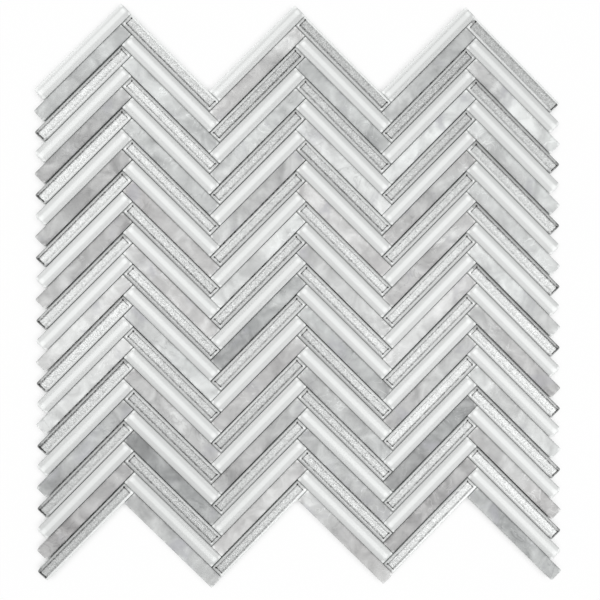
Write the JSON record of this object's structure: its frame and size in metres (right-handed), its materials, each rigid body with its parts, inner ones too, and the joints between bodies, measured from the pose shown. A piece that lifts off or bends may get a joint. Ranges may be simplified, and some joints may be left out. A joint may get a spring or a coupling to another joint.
{
  "type": "herringbone mosaic tile sheet",
  "caption": "Net-backed mosaic sheet of slim white glass, silver-backed glass and marble sticks laid in a herringbone with open joints, for tiling a wall.",
  "frame": {"origin": "middle of the sheet, on the underside of the backing net", "axes": "+Y up the pattern, +X to the right along the zigzag, +Z out of the finished face"},
  "size_m": [0.288, 0.3172, 0.0085],
  "materials": {
    "white_glass": "gloss",
    "silver_glass": "gloss",
    "marble": "satin",
    "backing_net": "matte"
  },
  "bodies": {
    "root": {"white_glass_column_1": "white_glass", "silver_glass_column_1": "silver_glass", "marble_column_1": "marble", "white_glass_column_2": "white_glass", "silver_glass_column_2": "silver_glass", "marble_column_2": "marble", "white_glass_column_3": "white_glass", "silver_glass_column_3": "silver_glass", "marble_column_3": "marble", "white_glass_column_4": "white_glass", "silver_glass_column_4": "silver_glass", "marble_column_4": "marble", "white_glass_column_5": "white_glass", "silver_glass_column_5": "silver_glass", "marble_column_5": "marble", "white_glass_column_6": "white_glass", "silver_glass_column_6": "silver_glass", "marble_column_6": "marble", "backing_net_uprights": "backing_net", "backing_net_crosses": "backing_net"}
  },
  "joints": []
}
